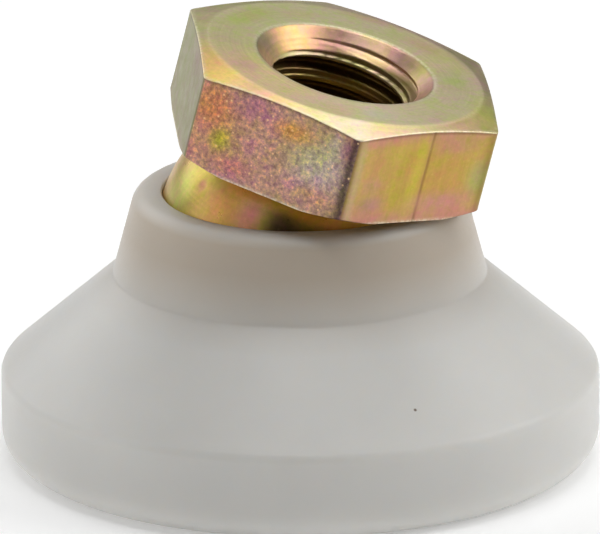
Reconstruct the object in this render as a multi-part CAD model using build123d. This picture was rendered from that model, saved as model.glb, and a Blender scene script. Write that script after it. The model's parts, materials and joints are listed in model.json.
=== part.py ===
from build123d import *
import os
from math import cos, hypot, radians, sin, sqrt, tan

# Swivel levelling foot: a steel nut with a ball under its hexagon, snapped into a plastic foot.
# Millimetres, +Z up. The origin is the centre of the face that stands on the floor.

# ---- foot ----
foot_dia = 47.625            # 1 7/8 in
foot_height = 21.5           # floor to the flat top of the rim
band_height = 7.0            # upright band round the floor end
shoulder_height = 14.82      # where the cone meets the neck
neck_taper = 15.0            # degrees the neck leans inward
rim_land = 2.06              # width of the rim before its edges are rounded
floor_edge_fillet = 2.3
band_edge_fillet = 1.05
rim_outer_fillet = 1.3
rim_inner_fillet = 0.5
relief_inset = 6.0           # from the foot's side to the shallow hollow underneath
relief_depth = 0.8
relief_fillet = 0.35

# ---- ball and socket ----
ball_dia = 22.86             # 0.9 in
socket_clearance = 0.08      # radial, all round the ball
snap_undercut = 0.43         # how much narrower the mouth is than the ball, on the radius
throat_height = 0.58         # straight mouth above the socket's sphere
ball_flat_land = 0.45        # width of the turned flat under the ball, round the core

# ---- hexagon ----
hex_across_flats = 23.8125   # 15/16 in
hex_height = 8.04
hex_corner_fillet = 0.65
top_chamfer_inset = 0.75     # the top face's round edge lies this far inside the flats
top_chamfer_angle = 13.6     # degrees
foot_side_chamfer_start = 0.46   # the lower chamfer starts this far outside the flats
foot_side_chamfer_angle = 23.8   # degrees

# ---- tapped hole, 1/2-13 ----
thread_major_dia = 12.7
thread_pitch = 25.4 / 13
countersink_margin = 0.82    # the countersink's rim lies this far outside the thread
countersink_angle = 90.0     # included
hole_floor = 2.7             # steel left under the drill's point
drill_point_angle = 118.0    # included

# ---- joint ----
lean = 14.9                  # degrees the nut tips at its stop
lean_heading = -21.88        # degrees from +X towards +Y
hex_turn = -84.0             # degrees of one corner about the nut's own axis
stop_gap = 0.25              # left between the hexagon and the rim at full lean
core_clearance = 0.05        # radial, between that core and the ball
seam_gap = 0.03              # between the hexagon and the ball's cut top

# ---- worked out from the sizes above ----
foot_radius = foot_dia / 2
ball_radius = ball_dia / 2
socket_radius = ball_radius + socket_clearance
mouth_radius = ball_radius - snap_undercut
lip_rise = sqrt(socket_radius**2 - mouth_radius**2)
ball_height = foot_height - throat_height - lip_rise
rim_radius = mouth_radius + rim_land
shoulder_radius = rim_radius + (foot_height - shoulder_height) * tan(radians(neck_taper))

# the rim's outer rounding touches the top face here, and it is what the leaning hexagon meets
rim_flat_radius = rim_radius - rim_outer_fillet * tan(radians(90 - neck_taper) / 2)
rim_centre_rise = foot_height - rim_outer_fillet - ball_height
rim_reach = (rim_flat_radius * sin(radians(lean)) + rim_centre_rise * cos(radians(lean))
             + rim_outer_fillet)
hex_rise = rim_reach + stop_gap      # hexagon's lower face above the ball's centre

hex_top = hex_rise + hex_height

tap_drill_dia = thread_major_dia - thread_pitch
hole_radius = tap_drill_dia / 2
neck_radius = sqrt(ball_radius**2 - hex_rise**2)     # the ball's radius where the hexagon sits on it
core_radius = (hole_radius + neck_radius) / 2        # halfway, so both walls are as thick
ball_hole_radius = core_radius + core_clearance
ball_flat_depth = sqrt(ball_radius**2 - (ball_hole_radius + ball_flat_land)**2)
countersink_radius = thread_major_dia / 2 + countersink_margin
countersink_depth = (countersink_radius - hole_radius) / tan(radians(countersink_angle / 2))
drill_point_depth = hole_radius / tan(radians(drill_point_angle / 2))
hole_end = hole_floor + drill_point_depth - ball_flat_depth   # full diameter ends here
ball_centre = (0, 0, ball_height)


def ring_cone(face_radius, start, slope_angle, direction):
    """A body of revolution that cuts a hexagon's corners back.

    It is flat out to face_radius at the height start, then falls away at slope_angle. It is
    taller than the hexagon in the other direction, which is -1 below the face and 1 above it.
    """
    reach = 2 * face_radius
    fall = (reach - face_radius) * tan(radians(slope_angle))
    far = start + direction * (fall + 2 * hex_height)
    outline = Polyline((0, start), (face_radius, start), (reach, start + direction * fall),
                       (reach, far), (0, far), close=True)
    return revolve(Plane.XZ * make_face(outline), Axis.Z)


def leaned(shape):
    """Turn an upright nut piece, made about the ball's centre, to the way it leans at rest."""
    placed = shape.moved(Location(ball_centre))
    heading = radians(lean_heading)
    hinge = Axis(ball_centre, (-sin(heading), cos(heading), 0))
    return placed.rotate(hinge, lean)


def foot_base():
    """Plastic foot: upright band, cone, tapered neck and rim, with the ball's socket."""
    outline = Polyline((0, 0), (foot_radius, 0), (foot_radius, band_height),
                       (shoulder_radius, shoulder_height), (rim_radius, foot_height),
                       (0, foot_height), close=True)
    section = make_face(outline)
    roundings = ((foot_radius, 0, floor_edge_fillet), (foot_radius, band_height, band_edge_fillet),
                 (rim_radius, foot_height, rim_outer_fillet))
    for r, z, radius in roundings:
        corner = min(section.vertices(), key=lambda v: hypot(v.X - r, v.Y - z))
        section = fillet(corner, radius)
    body = revolve(Plane.XZ * section, Axis.Z)

    mouth = Pos(0, 0, ball_height) * Cylinder(mouth_radius, foot_height,
                                              align=(Align.CENTER, Align.CENTER, Align.MIN))
    body -= Pos(0, 0, ball_height) * Sphere(socket_radius) + mouth
    top_circles = body.edges().filter_by(GeomType.CIRCLE).group_by(Axis.Z)[-1]
    body = fillet(top_circles.sort_by(SortBy.RADIUS)[0], rim_inner_fillet)

    relief_radius = foot_radius - relief_inset
    relief = extrude(Circle(relief_radius), relief_depth)
    relief = fillet(relief.edges().group_by(Axis.Z)[-1], relief_fillet)
    return body - relief


def swivel_ball():
    """Ball: a sphere cut level under the hexagon and flat below, round the tapped core."""
    ball_top = hex_rise - seam_gap
    height = ball_top + ball_flat_depth
    band = Pos(0, 0, -ball_flat_depth) * Cylinder(ball_radius * 1.1, height,
                                                  align=(Align.CENTER, Align.CENTER, Align.MIN))
    hole = Cylinder(ball_hole_radius, 4 * ball_radius)
    return leaned((Sphere(ball_radius) & band) - hole)


def hex_nut():
    """Hexagon with rounded corners and chamfered ends, and the tapped core that goes into
    the ball. The tapped hole is plain at its drilled size, with its countersink and point."""
    hexagon = RegularPolygon(hex_across_flats / 2, 6, major_radius=False, rotation=hex_turn)
    hexagon = fillet(hexagon.vertices(), hex_corner_fillet)
    head = Pos(0, 0, hex_rise) * extrude(hexagon, hex_height)
    half = hex_across_flats / 2
    head &= ring_cone(half - top_chamfer_inset, hex_top, top_chamfer_angle, -1)
    head &= ring_cone(half + foot_side_chamfer_start, hex_rise, foot_side_chamfer_angle, 1)

    core_length = hex_rise + ball_flat_depth
    core = Pos(0, 0, -ball_flat_depth) * Cylinder(core_radius, core_length + hex_height / 2,
                                                  align=(Align.CENTER, Align.CENTER, Align.MIN))
    outline = Polyline((0, hole_end - drill_point_depth), (hole_radius, hole_end),
                       (hole_radius, hex_top - countersink_depth), (countersink_radius, hex_top),
                       (countersink_radius, hex_top + 1), (0, hex_top + 1), close=True)
    hole = revolve(Plane.XZ * make_face(outline), Axis.Z)
    return leaned(head + core - hole)


os.makedirs("parts", exist_ok=True)
for make in (foot_base, swivel_ball, hex_nut):
    export_step(make(), f"parts/{make.__name__}.step")
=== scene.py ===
"""Looks for a swivel levelling foot: a plated steel nut and ball snapped into a milky plastic base."""

import json
import logging
import math
from dataclasses import dataclass, field
from enum import Enum, IntEnum

import bpy
import numpy as np
from mathutils import Matrix, Vector


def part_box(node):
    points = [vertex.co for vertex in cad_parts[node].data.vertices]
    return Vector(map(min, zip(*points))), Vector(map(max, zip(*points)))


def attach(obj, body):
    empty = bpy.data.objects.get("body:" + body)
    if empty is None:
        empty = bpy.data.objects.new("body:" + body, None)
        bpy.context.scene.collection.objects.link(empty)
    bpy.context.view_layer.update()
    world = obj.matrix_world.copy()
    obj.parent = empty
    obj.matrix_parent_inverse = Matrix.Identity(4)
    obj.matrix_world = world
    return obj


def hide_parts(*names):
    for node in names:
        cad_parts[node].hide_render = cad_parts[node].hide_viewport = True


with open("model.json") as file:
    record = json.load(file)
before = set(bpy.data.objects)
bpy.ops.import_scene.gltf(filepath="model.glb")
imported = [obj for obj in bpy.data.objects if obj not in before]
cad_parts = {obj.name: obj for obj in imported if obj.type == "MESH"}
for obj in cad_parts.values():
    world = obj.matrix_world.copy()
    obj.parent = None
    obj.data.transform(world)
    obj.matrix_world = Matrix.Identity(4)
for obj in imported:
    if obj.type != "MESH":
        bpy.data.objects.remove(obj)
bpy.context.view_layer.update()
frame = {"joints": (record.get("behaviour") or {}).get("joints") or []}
MM = 0.001
log = logging.getLogger("levelling_foot")


class Side(Enum):
    """Which end of a mesh grid closes in a single point on the axis."""

    FIRST = "first"
    LAST = "last"
    BOTH = "both"
    NONE = "none"


class Zone(IntEnum):
    """The parts of the hexagon's skin, in order from the core's end round to the drill point."""

    CORE = 0
    UNDERSIDE = 1
    SIDE = 2
    CHAMFER = 3
    TOP = 4
    BORE = 5
    POINT = 6


# ---------------------------------------------------------------- shared shape helpers


def linear(rgb: tuple[float, float, float]) -> np.ndarray:
    """Turn a display colour of 0 to 255 a channel into the linear values that a shader reads.

    Args:
        rgb: red, green and blue as a screen shows them.

    Returns:
        Three linear values from 0 to 1.
    """
    c = np.asarray(rgb, float) / 255.0
    return np.where(c <= 0.04045, c / 12.92, ((c + 0.055) / 1.055) ** 2.4)


def smooth(t: np.ndarray) -> np.ndarray:
    """Ease 0 to 1 with no kink at either end: 3t^2 - 2t^3, with t held between 0 and 1."""
    t = np.clip(t, 0.0, 1.0)
    return t * t * (3.0 - 2.0 * t)


def rounded(corners: list[tuple[float, float, float]], steps: int = 7) -> np.ndarray:
    """Round the corners of an outline in the r, z plane.

    Each corner with a radius becomes an arc tangent to the runs beside it. The arc's centre lies
    on the corner's bisector, at radius / sin(half the corner's angle), and its two ends lie at
    radius / tan(half the angle) along the runs.

    Args:
        corners: r, z and rounding radius of each corner, in order.
        steps: points on each arc.

    Returns:
        The outline's points, one row of r and z each.
    """
    out = [np.array(corners[0][:2])]
    for before, here, after in zip(corners[:-2], corners[1:-1], corners[2:]):
        p0, p1, p2 = (np.array(c[:2]) for c in (before, here, after))
        if here[2] <= 0:
            out.append(p1)
            continue
        a = (p0 - p1) / np.linalg.norm(p0 - p1)
        b = (p2 - p1) / np.linalg.norm(p2 - p1)
        half = math.acos(np.clip(a @ b, -1, 1)) / 2
        centre = p1 + (a + b) / np.linalg.norm(a + b) * here[2] / math.sin(half)
        start, end = p1 + a * here[2] / math.tan(half), p1 + b * here[2] / math.tan(half)
        t0 = math.atan2(*(start - centre)[::-1])
        turn = (math.atan2(*(end - centre)[::-1]) - t0 + math.pi) % (2 * math.pi) - math.pi
        angles = t0 + turn * np.linspace(0, 1, steps)
        out += list(centre + here[2] * np.stack([np.cos(angles), np.sin(angles)], 1))
    out.append(np.array(corners[-1][:2]))
    return np.array(out)


def divided(path: np.ndarray, step: float) -> np.ndarray:
    """Add points along an outline so that none of its runs is longer than about step.

    The length along the outline is cut at every corner and at every multiple of step, and r and
    z are read off at those lengths.

    Args:
        path: the outline, one row a point.
        step: the longest run wanted.

    Returns:
        The outline with its added points.
    """
    along = np.concatenate([[0.0], np.cumsum(np.linalg.norm(np.diff(path, axis=0), axis=1))])
    regular = np.arange(0.0, along[-1], step)
    gap = np.abs(regular[:, None] - along[None, :]).min(axis=1)
    cuts = np.union1d(along, regular[gap > step / 3])
    return np.stack([np.interp(cuts, along, path[:, k]) for k in range(path.shape[1])], 1)


def turned_grid(r: np.ndarray, z: np.ndarray, theta: np.ndarray) -> np.ndarray:
    """Points of a turned surface: x = r cos(theta), y = r sin(theta), z, on a grid."""
    r, z = np.broadcast_arrays(np.asarray(r, float), np.asarray(z, float))
    return np.stack([r * np.cos(theta), r * np.sin(theta), z], axis=-1)


def grid_mesh(name: str, grid: np.ndarray, closed: Side, loop: bool = False) -> bpy.types.Object:
    """Make a closed mesh from rows of points that each go once round an axis.

    Row i, column j is joined to row i + 1 and column j + 1 by a four-sided face, and the last
    column to the first. A row at a closed end is one point, joined by triangles. With loop, the
    last row joins the first.

    Args:
        name: the piece's name.
        grid: rows by columns by three, in metres.
        closed: which end rows are single points on the axis.
        loop: the outline itself is closed, as on a ring.

    Returns:
        The new object, at the origin, shaded smooth.
    """
    rows, cols = grid.shape[:2]
    first = closed in (Side.FIRST, Side.BOTH)
    last = closed in (Side.LAST, Side.BOTH)
    body = grid[int(first):rows - int(last)]
    n = body.shape[0]
    ring = np.arange(n * cols).reshape(n, cols)
    nxt = np.roll(ring, -1, axis=1)
    lower, upper = (ring, nxt), (np.roll(ring, -1, axis=0), np.roll(nxt, -1, axis=0))
    take = slice(None) if loop else slice(0, n - 1)
    quads = np.stack([lower[0][take], lower[1][take], upper[1][take], upper[0][take]], -1)
    quads = quads.reshape(-1, 4)
    points = [body.reshape(-1, 3)]
    fans = []
    if first:
        points.append(grid[0, :1])
        fans.append(np.stack([np.full(cols, n * cols), nxt[0], ring[0]], 1))
    if last:
        points.append(grid[-1, :1])
        tip = np.full(cols, n * cols + int(first))
        fans.append(np.stack([ring[-1], nxt[-1], tip], 1))
    verts = np.concatenate(points)
    tris = np.concatenate(fans) if fans else np.zeros((0, 3), int)
    corners = np.concatenate([quads.ravel(), tris.ravel()]).astype(np.int32)
    sizes = np.concatenate([np.full(len(quads), 4), np.full(len(tris), 3)])
    starts = np.concatenate([[0], np.cumsum(sizes)[:-1]]).astype(np.int32)
    mesh = bpy.data.meshes.new(name)
    mesh.vertices.add(len(verts))
    mesh.vertices.foreach_set("co", verts.astype(np.float32).ravel())
    mesh.loops.add(len(corners))
    mesh.loops.foreach_set("vertex_index", corners)
    mesh.polygons.add(len(sizes))
    mesh.polygons.foreach_set("loop_start", starts)
    mesh.polygons.foreach_set("use_smooth", np.ones(len(sizes), bool))
    mesh.update(calc_edges=True)
    mesh.validate()
    piece = bpy.data.objects.new(name, mesh)
    bpy.context.scene.collection.objects.link(piece)
    return piece


def spread(grid: np.ndarray, closed: Side) -> np.ndarray:
    """Put a value kept on the grid into the order of grid_mesh's points.

    Args:
        grid: rows by columns by three.
        closed: which end rows are single points, as for grid_mesh.

    Returns:
        One row of three numbers for each point.
    """
    rows = grid.shape[0]
    first = closed in (Side.FIRST, Side.BOTH)
    last = closed in (Side.LAST, Side.BOTH)
    parts = [grid[int(first):rows - int(last)].reshape(-1, grid.shape[-1])]
    if first:
        parts.append(grid[0, :1])
    if last:
        parts.append(grid[-1, :1])
    return np.concatenate(parts)


def paint(piece: bpy.types.Object, name: str, values: np.ndarray, colour: bool = False) -> None:
    """Keep three numbers at every point of a piece, for its material to read.

    Args:
        piece: the object to paint.
        name: the attribute's name.
        values: points by three.
        colour: store them as a colour and not as a vector.
    """
    kind = "FLOAT_COLOR" if colour else "FLOAT_VECTOR"
    layer = piece.data.attributes.new(name, kind, "POINT")
    if colour:
        values = np.concatenate([values, np.ones((len(values), 1))], axis=1)
    layer.data.foreach_set("color" if colour else "vector", values.astype(np.float32).ravel())


def waves(x: np.ndarray, y: np.ndarray, z: np.ndarray, seed: int, period: float) -> np.ndarray:
    """A gentle unevenness from -1 to 1: the mean of six sine waves in random directions.

    Args:
        x, y, z: places, in any one unit.
        seed: which set of waves.
        period: the mean distance between crests, in the same unit.

    Returns:
        The height at each place.
    """
    rng = np.random.default_rng(seed)
    total = np.zeros(np.broadcast(x, y, z).shape)
    for _ in range(6):
        d = rng.normal(size=3)
        d *= 2 * math.pi / (period * rng.uniform(0.7, 1.5) * np.linalg.norm(d))
        total += np.sin(d[0] * x + d[1] * y + d[2] * z + rng.uniform(0, 2 * math.pi))
    return total / 6


# ---------------------------------------------------------------- node helper


class Bench:
    """A small bench for laying out one material's nodes."""

    def __init__(self, name: str) -> None:
        """Start an empty material with a Principled shader wired to its output."""
        self.material = bpy.data.materials.new(name)
        self.material.use_nodes = True
        self.tree = self.material.node_tree
        self.tree.nodes.clear()
        self.output = self.tree.nodes.new("ShaderNodeOutputMaterial")
        self.shader = self.tree.nodes.new("ShaderNodeBsdfPrincipled")
        self.join(self.shader.outputs["BSDF"], self.output.inputs["Surface"])

    def join(self, start: bpy.types.NodeSocket, end: bpy.types.NodeSocket) -> None:
        """Wire one socket to another."""
        self.tree.links.new(start, end)

    def feed(self, socket: bpy.types.NodeSocket, value: object) -> None:
        """Wire a socket if value is a socket, and set it if value is a number or a colour.

        Args:
            socket: the input to fill.
            value: a socket, a number, a colour or None.
        """
        if isinstance(value, bpy.types.NodeSocket):
            self.join(value, socket)
        elif value is not None:
            socket.default_value = value

    def attribute(self, name: str, part: str = "Vector") -> bpy.types.NodeSocket:
        """Read what paint() kept on the piece.

        Args:
            name: the attribute.
            part: its Vector or its Color.

        Returns:
            The socket that gives it.
        """
        node = self.tree.nodes.new("ShaderNodeAttribute")
        node.attribute_name = name
        return node.outputs[part]

    def place(self) -> bpy.types.NodeSocket:
        """The point's own place on the piece, in metres."""
        return self.tree.nodes.new("ShaderNodeTexCoord").outputs["Object"]

    def maths(self, kind: str, a: object, b: object = None, c: object = None,
              clamp: bool = False) -> bpy.types.NodeSocket:
        """Do one sum, such as ADD or MULTIPLY_ADD.

        Args:
            kind: the sum.
            a, b, c: its numbers or sockets.
            clamp: hold the result between 0 and 1.

        Returns:
            The result.
        """
        node = self.tree.nodes.new("ShaderNodeMath")
        node.operation = kind
        node.use_clamp = clamp
        for socket, value in zip(node.inputs, (a, b, c)):
            self.feed(socket, value)
        return node.outputs[0]

    def vector(self, kind: str, a: object, b: object = None,
               out: str = "Vector") -> bpy.types.NodeSocket:
        """Do one vector sum, such as MULTIPLY or DISTANCE.

        Args:
            kind: the sum.
            a, b: its vectors or sockets.
            out: Vector, or Value for a length or distance.

        Returns:
            The result.
        """
        node = self.tree.nodes.new("ShaderNodeVectorMath")
        node.operation = kind
        self.feed(node.inputs[0], a)
        self.feed(node.inputs[1], b)
        return node.outputs[out]

    def split(self, vector: bpy.types.NodeSocket) -> list[bpy.types.NodeSocket]:
        """The x, y and z of a vector.

        Args:
            vector: the vector to take apart.

        Returns:
            Its three numbers.
        """
        node = self.tree.nodes.new("ShaderNodeSeparateXYZ")
        self.join(vector, node.inputs[0])
        return list(node.outputs)

    def pair(self, a: bpy.types.NodeSocket, b: bpy.types.NodeSocket) -> bpy.types.NodeSocket:
        """A vector of two numbers and a nought.

        Args:
            a, b: the two numbers.

        Returns:
            The vector.
        """
        node = self.tree.nodes.new("ShaderNodeCombineXYZ")
        self.join(a, node.inputs[0])
        self.join(b, node.inputs[1])
        return node.outputs[0]

    def noise(self, vector: bpy.types.NodeSocket, scale: float, detail: float = 2.0,
              rough: float = 0.5, warp: float = 0.0) -> bpy.types.NodeSocket:
        """Cloudy noise from 0 to 1.

        Args:
            vector: where to read the noise.
            scale: blobs in one unit of length.
            detail, rough: how many finer layers, and how strong.
            warp: how far the blobs are pulled about.

        Returns:
            The noise.
        """
        node = self.tree.nodes.new("ShaderNodeTexNoise")
        self.join(vector, node.inputs["Vector"])
        node.inputs["Scale"].default_value = scale
        node.inputs["Detail"].default_value = detail
        node.inputs["Roughness"].default_value = rough
        node.inputs["Distortion"].default_value = warp
        return node.outputs["Fac"]

    def cells(self, vector: bpy.types.NodeSocket, scale: float,
              out: str = "Distance") -> bpy.types.NodeSocket:
        """Random cells: the distance to each cell's point, or the cell's colour.

        Args:
            vector: where to read the cells.
            scale: cells in one unit of length.
            out: Distance or Color.

        Returns:
            The socket asked for.
        """
        node = self.tree.nodes.new("ShaderNodeTexVoronoi")
        self.join(vector, node.inputs["Vector"])
        node.inputs["Scale"].default_value = scale
        return node.outputs[out]

    def ramp(self, value: bpy.types.NodeSocket,
             stops: list[tuple[float, tuple[float, ...]]]) -> bpy.types.NodeSocket:
        """Turn a number into a colour by way of a few stops.

        Args:
            value: the number.
            stops: each place on the ramp with its colour.

        Returns:
            The colour.
        """
        node = self.tree.nodes.new("ShaderNodeValToRGB")
        self.join(value, node.inputs[0])
        band = node.color_ramp
        while len(band.elements) < len(stops):
            band.elements.new(0.5)
        for element, (at, colour) in zip(band.elements, stops):
            element.position = at
            element.color = (*colour, 1.0)
        return node.outputs[0]

    def range(self, value: object, low: float, high: float, to_low: object = 0.0,
              to_high: object = 1.0) -> bpy.types.NodeSocket:
        """Stretch a number from one range to another and clamp it.

        Args:
            value: the number.
            low, high: the range it has.
            to_low, to_high: the range it gets.

        Returns:
            The stretched number.
        """
        node = self.tree.nodes.new("ShaderNodeMapRange")
        for socket, item in zip(node.inputs, (value, low, high, to_low, to_high)):
            self.feed(socket, item)
        return node.outputs[0]

    def mix(self, share: object, a: object, b: object,
            kind: str = "MIX") -> bpy.types.NodeSocket:
        """Mix two colours.

        Args:
            share: how much of b, from 0 to 1.
            a, b: the colours.
            kind: plain MIX, or MULTIPLY.

        Returns:
            The mixed colour.
        """
        node = self.tree.nodes.new("ShaderNodeMix")
        node.data_type = "RGBA"
        node.blend_type = kind
        self.feed(node.inputs["Factor"], share)
        self.feed(node.inputs[6], a)
        self.feed(node.inputs[7], b)
        return node.outputs[2]

    def bump(self, height: bpy.types.NodeSocket, depth: float) -> None:
        """Raise the surface by height times depth, in metres, in the shader's normal.

        Args:
            height: the relief.
            depth: metres for a height of 1.
        """
        node = self.tree.nodes.new("ShaderNodeBump")
        node.inputs["Strength"].default_value = 1.0
        node.inputs["Distance"].default_value = depth
        self.join(height, node.inputs["Height"])
        self.join(node.outputs["Normal"], self.shader.inputs["Normal"])


# ---------------------------------------------------------------- finishes


@dataclass(frozen=True)
class YellowPlating:
    """Yellow zinc plating on turned and drawn steel, with its rainbow bloom.

    The piece carries three attributes. upright is the place in the nut's own upright frame in
    millimetres; tint is the plating's colour there; finish holds the grain, the worn edges with
    their painted highlight and the turning marks, each from 0 to 1.
    """

    name: str
    metallic: float = 0.92
    roughness: float = 0.38
    # pale colour of worn edges, and of the painted highlight laid on them
    pale: tuple[float, float, float] = (244, 234, 206)
    drift_scale: float = 0.17
    blotch_scale: float = 0.60
    fleck_scale: float = 2.1
    grain_scale: float = 3.4
    rings_per_mm: float = 4.2

    def make(self) -> bpy.types.Material:
        """Lay out the nodes.

        Returns:
            The material.
        """
        bench = Bench(self.name)
        home = bench.attribute("upright")
        tint = bench.attribute("tint", "Color")
        grain, wear_and_highlight, turned = bench.split(bench.attribute("finish"))
        z = bench.split(home)[2]

        colour = self.bloomed(bench, home, tint)
        specks = bench.noise(home, self.grain_scale, 3.0, 0.62)
        crumbs = bench.noise(home, self.grain_scale * 3.1, 2.0, 0.6)
        colour = self.grained(bench, home, colour, grain, specks)

        streaks = bench.noise(bench.vector("MULTIPLY", home, (1.0, 1.0, 0.05)), 2.2, 4.0, 0.65)
        drawn = bench.maths("SUBTRACT", 1.0, turned, clamp=True)
        streak_light = bench.range(streaks, 0.3, 0.7, 0.95, 1.05)
        colour = bench.mix(drawn, colour, bench.mix(1.0, colour, streak_light, "MULTIPLY"))

        flat = bench.vector("MULTIPLY", home, (1.0, 1.0, 0.0))
        radius = bench.vector("LENGTH", flat, out="Value")
        across = bench.pair(radius, bench.maths("MULTIPLY", z, 0.8))
        rings = bench.noise(across, self.rings_per_mm, 3.0, 0.7)
        patchy = bench.range(bench.noise(home, 0.5, 2.0), 0.38, 0.62, 0.25, 1.0)
        ring_light = bench.range(rings, 0.3, 0.7, 0.85, 1.15)
        turned_light = bench.maths("MULTIPLY", turned, patchy)
        colour = bench.mix(turned_light, colour, bench.mix(1.0, colour, ring_light, "MULTIPLY"))

        # worn edges and painted highlight: pale colour laid along the edges, broken up by noise
        chips = bench.noise(home, 3.2, 3.0, 0.7)
        bare_and_highlit = bench.maths("MULTIPLY", wear_and_highlight, bench.range(chips, 0.40, 0.58, 0.25, 1.0))
        colour = bench.mix(bare_and_highlit, colour, (*linear(self.pale), 1.0))
        bench.join(colour, bench.shader.inputs["Base Color"])

        cloud = bench.noise(home, 0.9, 3.0, 0.6)
        rough = bench.maths("MULTIPLY_ADD", grain, 0.14, self.roughness)
        rough = bench.maths("ADD", rough, bench.range(cloud, 0.3, 0.7, -0.05, 0.06))
        bench.join(rough, bench.shader.inputs["Roughness"])
        bench.shader.inputs["Metallic"].default_value = self.metallic

        height = bench.maths("MULTIPLY", bench.maths("ADD", specks, crumbs), grain)
        height = bench.maths("MULTIPLY", height, 0.034)
        ring_height = bench.maths("MULTIPLY", bench.maths("MULTIPLY", rings, turned_light), 0.010)
        streak_height = bench.maths("MULTIPLY", bench.maths("MULTIPLY", streaks, drawn), 0.010)
        height = bench.maths("ADD", height, bench.maths("ADD", ring_height, streak_height))
        height = bench.maths("MULTIPLY_ADD", crumbs, 0.003, height)
        bench.bump(height, MM)
        return bench.material

    def bloomed(self, bench: Bench, home: bpy.types.NodeSocket,
                tint: bpy.types.NodeSocket) -> bpy.types.NodeSocket:
        """Let the plating's hue wander from green through gold to pink at three sizes.

        Args:
            bench: where the nodes are laid out.
            home: place in the nut's upright frame.
            tint: the painted colour.

        Returns:
            The colour with its bloom.
        """
        green, rose = (0.90, 1.04, 0.66), (1.05, 0.86, 1.12)
        colour = tint
        for scale, detail, share in ((self.drift_scale, 3.0, 0.80), (self.blotch_scale, 4.0, 0.75),
                                     (self.fleck_scale, 2.0, 0.50)):
            cloud = bench.noise(home, scale, detail, 0.6, 0.5)
            hue = bench.ramp(cloud, [(0.33, green), (0.47, (1.0, 1.01, 0.96)),
                                     (0.54, (1.01, 1.0, 1.0)), (0.68, rose)])
            colour = bench.mix(share, colour, bench.mix(1.0, colour, hue, "MULTIPLY"))
        return colour

    def grained(self, bench: Bench, home: bpy.types.NodeSocket, colour: bpy.types.NodeSocket,
                grain: bpy.types.NodeSocket, specks: bpy.types.NodeSocket) -> bpy.types.NodeSocket:
        """Darken the pits of an etched face, give its high spots a warmer tone and paint a highlight on a
        few crystals.

        Args:
            bench: where the nodes are laid out.
            home: place in the nut's upright frame.
            colour: the colour so far.
            grain: how etched the face is.
            specks: the noise of pits and high spots.

        Returns:
            The colour with its grain.
        """
        light = bench.ramp(specks, [(0.33, (0.62, 0.54, 0.62)), (0.46, (0.90, 0.85, 0.92)),
                                    (0.56, (1.10, 1.07, 1.00)), (0.69, (1.55, 1.40, 1.06))])
        rough_face = bench.mix(1.0, colour, light, "MULTIPLY")
        coarse = bench.noise(home, self.grain_scale * 0.42, 3.0, 0.6)
        lump = bench.ramp(coarse, [(0.36, (0.86, 0.80, 0.88)), (0.48, (0.98, 0.96, 0.98)),
                                   (0.54, (1.02, 1.02, 1.00)), (0.66, (1.20, 1.16, 1.02))])
        rough_face = bench.mix(0.8, rough_face, bench.mix(1.0, rough_face, lump, "MULTIPLY"))
        # painted highlight: a few crystals are lightened toward pale gold as if catching the light
        crystal = bench.cells(home, 3.0, "Color")
        near = bench.cells(home, 3.0, "Distance")
        lucky = bench.range(bench.split(crystal)[0], 0.80, 0.86)
        painted_glint = bench.maths("MULTIPLY", lucky, bench.range(near, 0.14, 0.36, 0.85, 0.0))
        rough_face = bench.mix(painted_glint, rough_face, (*linear((255, 214, 160)), 1.0))
        return bench.mix(grain, colour, rough_face)


@dataclass(frozen=True)
class MilkyAcetal:
    """White moulded acetal that lets light in a few millimetres and warms it."""

    name: str
    body: tuple[float, float, float] = (221, 220, 216)
    # colour of the painted shade and warmer bounced light up the neck under the nut
    shaded_neck: tuple[float, float, float] = (200, 188, 172)
    roughness: float = 0.40
    subsurface: float = 0.75
    reach: float = 2.6
    speck_at: tuple[float, float, float] = (8.91, -19.03, 9.43)
    speck_size: float = 0.16

    def make(self) -> bpy.types.Material:
        """Lay out the nodes.

        Returns:
            The material.
        """
        bench = Bench(self.name)
        place = bench.place()
        cloud = bench.noise(place, 90.0, 3.0, 0.5)
        height = bench.split(place)[2]
        body, shaded_neck = (*linear(self.body), 1.0), (*linear(self.shaded_neck), 1.0)
        # painted shade and warmer bounced light from the nut: the neck darkens under the hexagon, eased
        # off at the rim
        neck_shade_share = bench.range(height, 13.0 * MM, 18.5 * MM)
        rim = bench.range(height, 20.6 * MM, 21.4 * MM, 1.0, 0.35)
        neck_shade_share = bench.maths("MULTIPLY", neck_shade_share, rim)
        colour = bench.mix(neck_shade_share, body, shaded_neck)
        shade = bench.range(cloud, 0.3, 0.7, 0.97, 1.03)
        colour = bench.mix(1.0, colour, shade, "MULTIPLY")
        at = tuple(v * MM for v in self.speck_at)
        away = bench.vector("DISTANCE", place, at, out="Value")
        speck = bench.range(away, self.speck_size * 0.5 * MM, self.speck_size * MM, 1.0, 0.0)
        colour = bench.mix(speck, colour, (0.16, 0.11, 0.07, 1.0))
        bench.join(colour, bench.shader.inputs["Base Color"])
        bench.shader.inputs["Subsurface Weight"].default_value = self.subsurface
        bench.shader.inputs["Subsurface Radius"].default_value = (1.0, 0.86, 0.72)
        bench.shader.inputs["Subsurface Scale"].default_value = self.reach * MM
        bench.shader.inputs["IOR"].default_value = 1.48
        fine = bench.noise(place, 2600.0, 2.0, 0.5)
        rough = bench.range(fine, 0.3, 0.7, self.roughness - 0.04, self.roughness + 0.05)
        bench.join(rough, bench.shader.inputs["Roughness"])
        skin = bench.noise(place, 700.0, 3.0, 0.6)
        swell = bench.maths("MULTIPLY_ADD", fine, 0.003, bench.maths("MULTIPLY", skin, 0.006))
        bench.bump(swell, MM)
        return bench.material


# ---------------------------------------------------------------- the nut's own frame


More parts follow.
